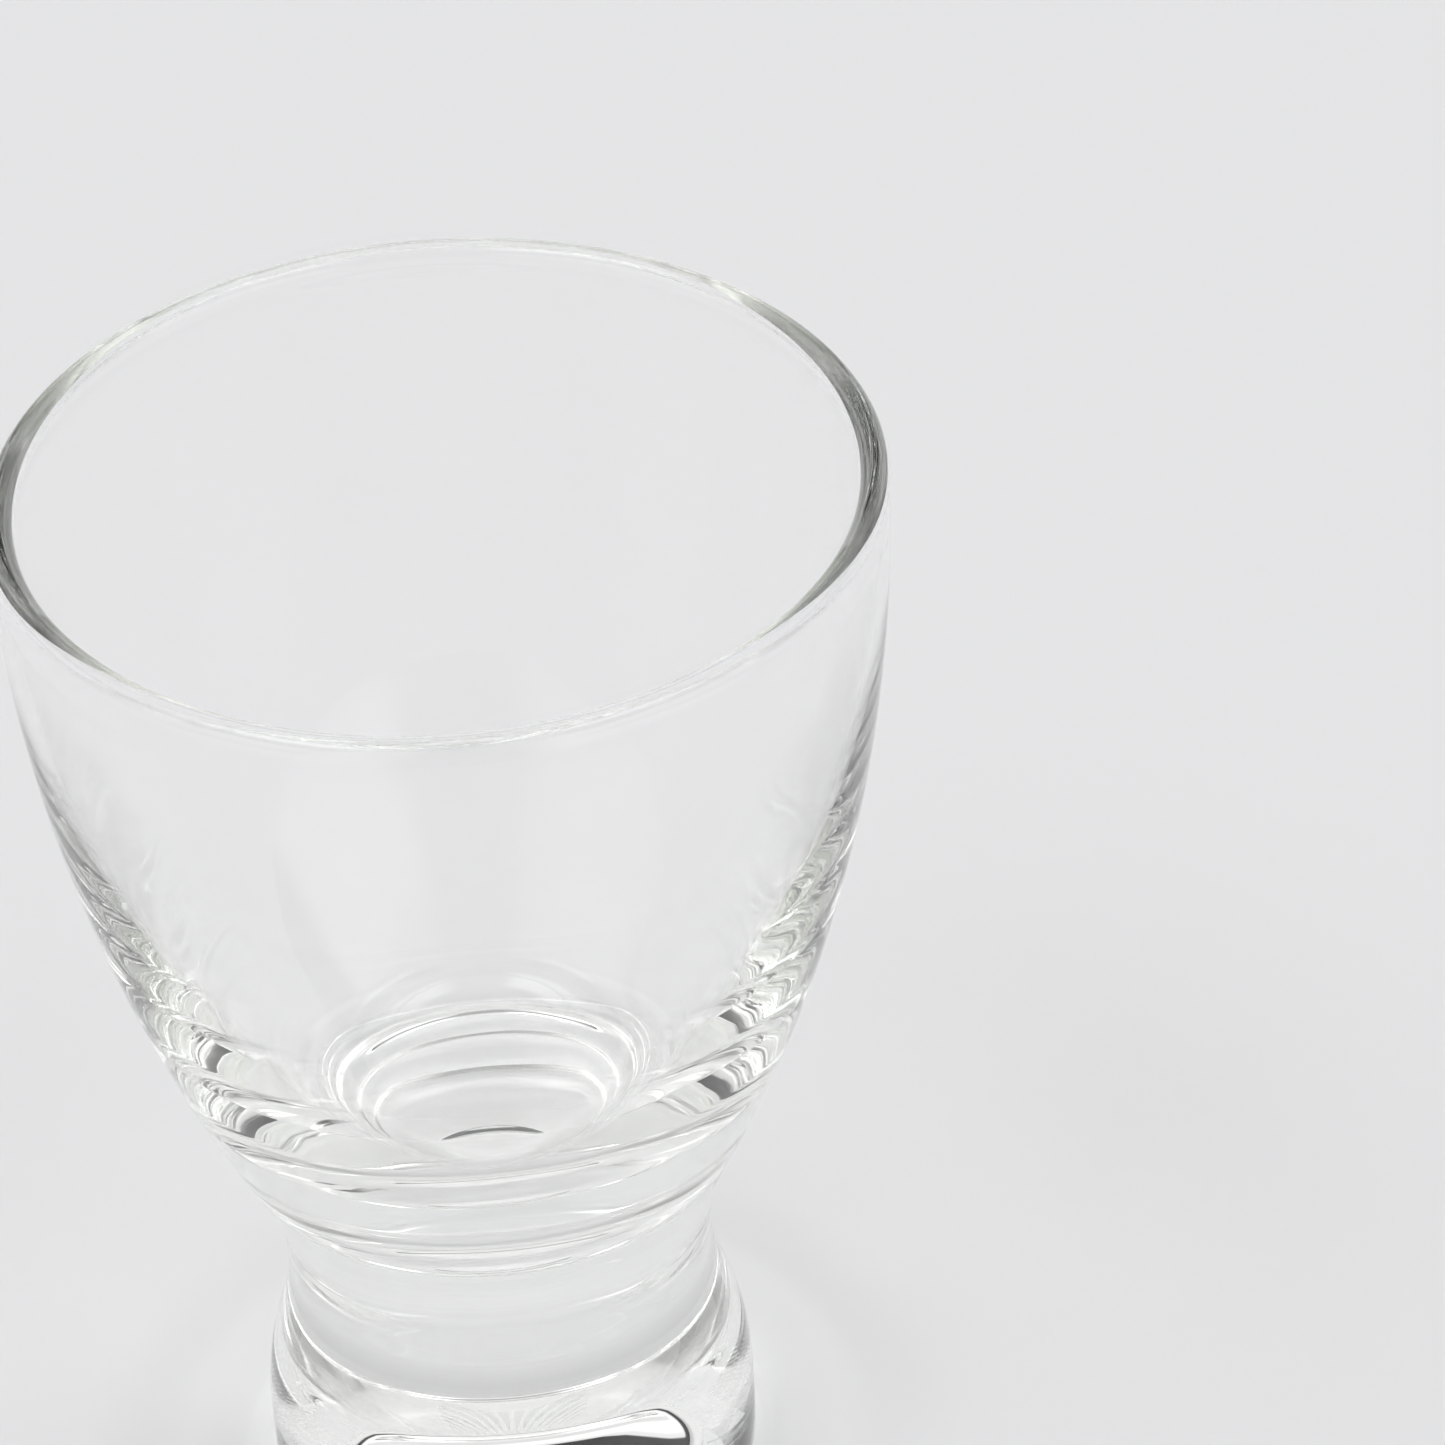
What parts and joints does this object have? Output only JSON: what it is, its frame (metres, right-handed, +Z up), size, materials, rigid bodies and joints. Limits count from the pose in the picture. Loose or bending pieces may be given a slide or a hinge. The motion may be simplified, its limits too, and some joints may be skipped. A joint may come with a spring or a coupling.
{
  "type": "mixing glass",
  "caption": "Clear footed mixing glass: a round bowl with a thick rounded lip on a solid waist and a heavy solid foot, for stirring and serving drinks.",
  "frame": {"origin": "centre of the flat ring that the glass rests on", "axes": "+Z up along the axis of the glass, towards the mouth; the glass is round, so X and Y are free"},
  "size_m": [0.09, 0.09, 0.1305],
  "materials": {
    "clear_glass": "fire-polished clear soda-lime glass with a faint grey-green tint"
  },
  "bodies": {
    "root": {"bowl": "clear_glass", "foot": "clear_glass"}
  },
  "joints": []
}
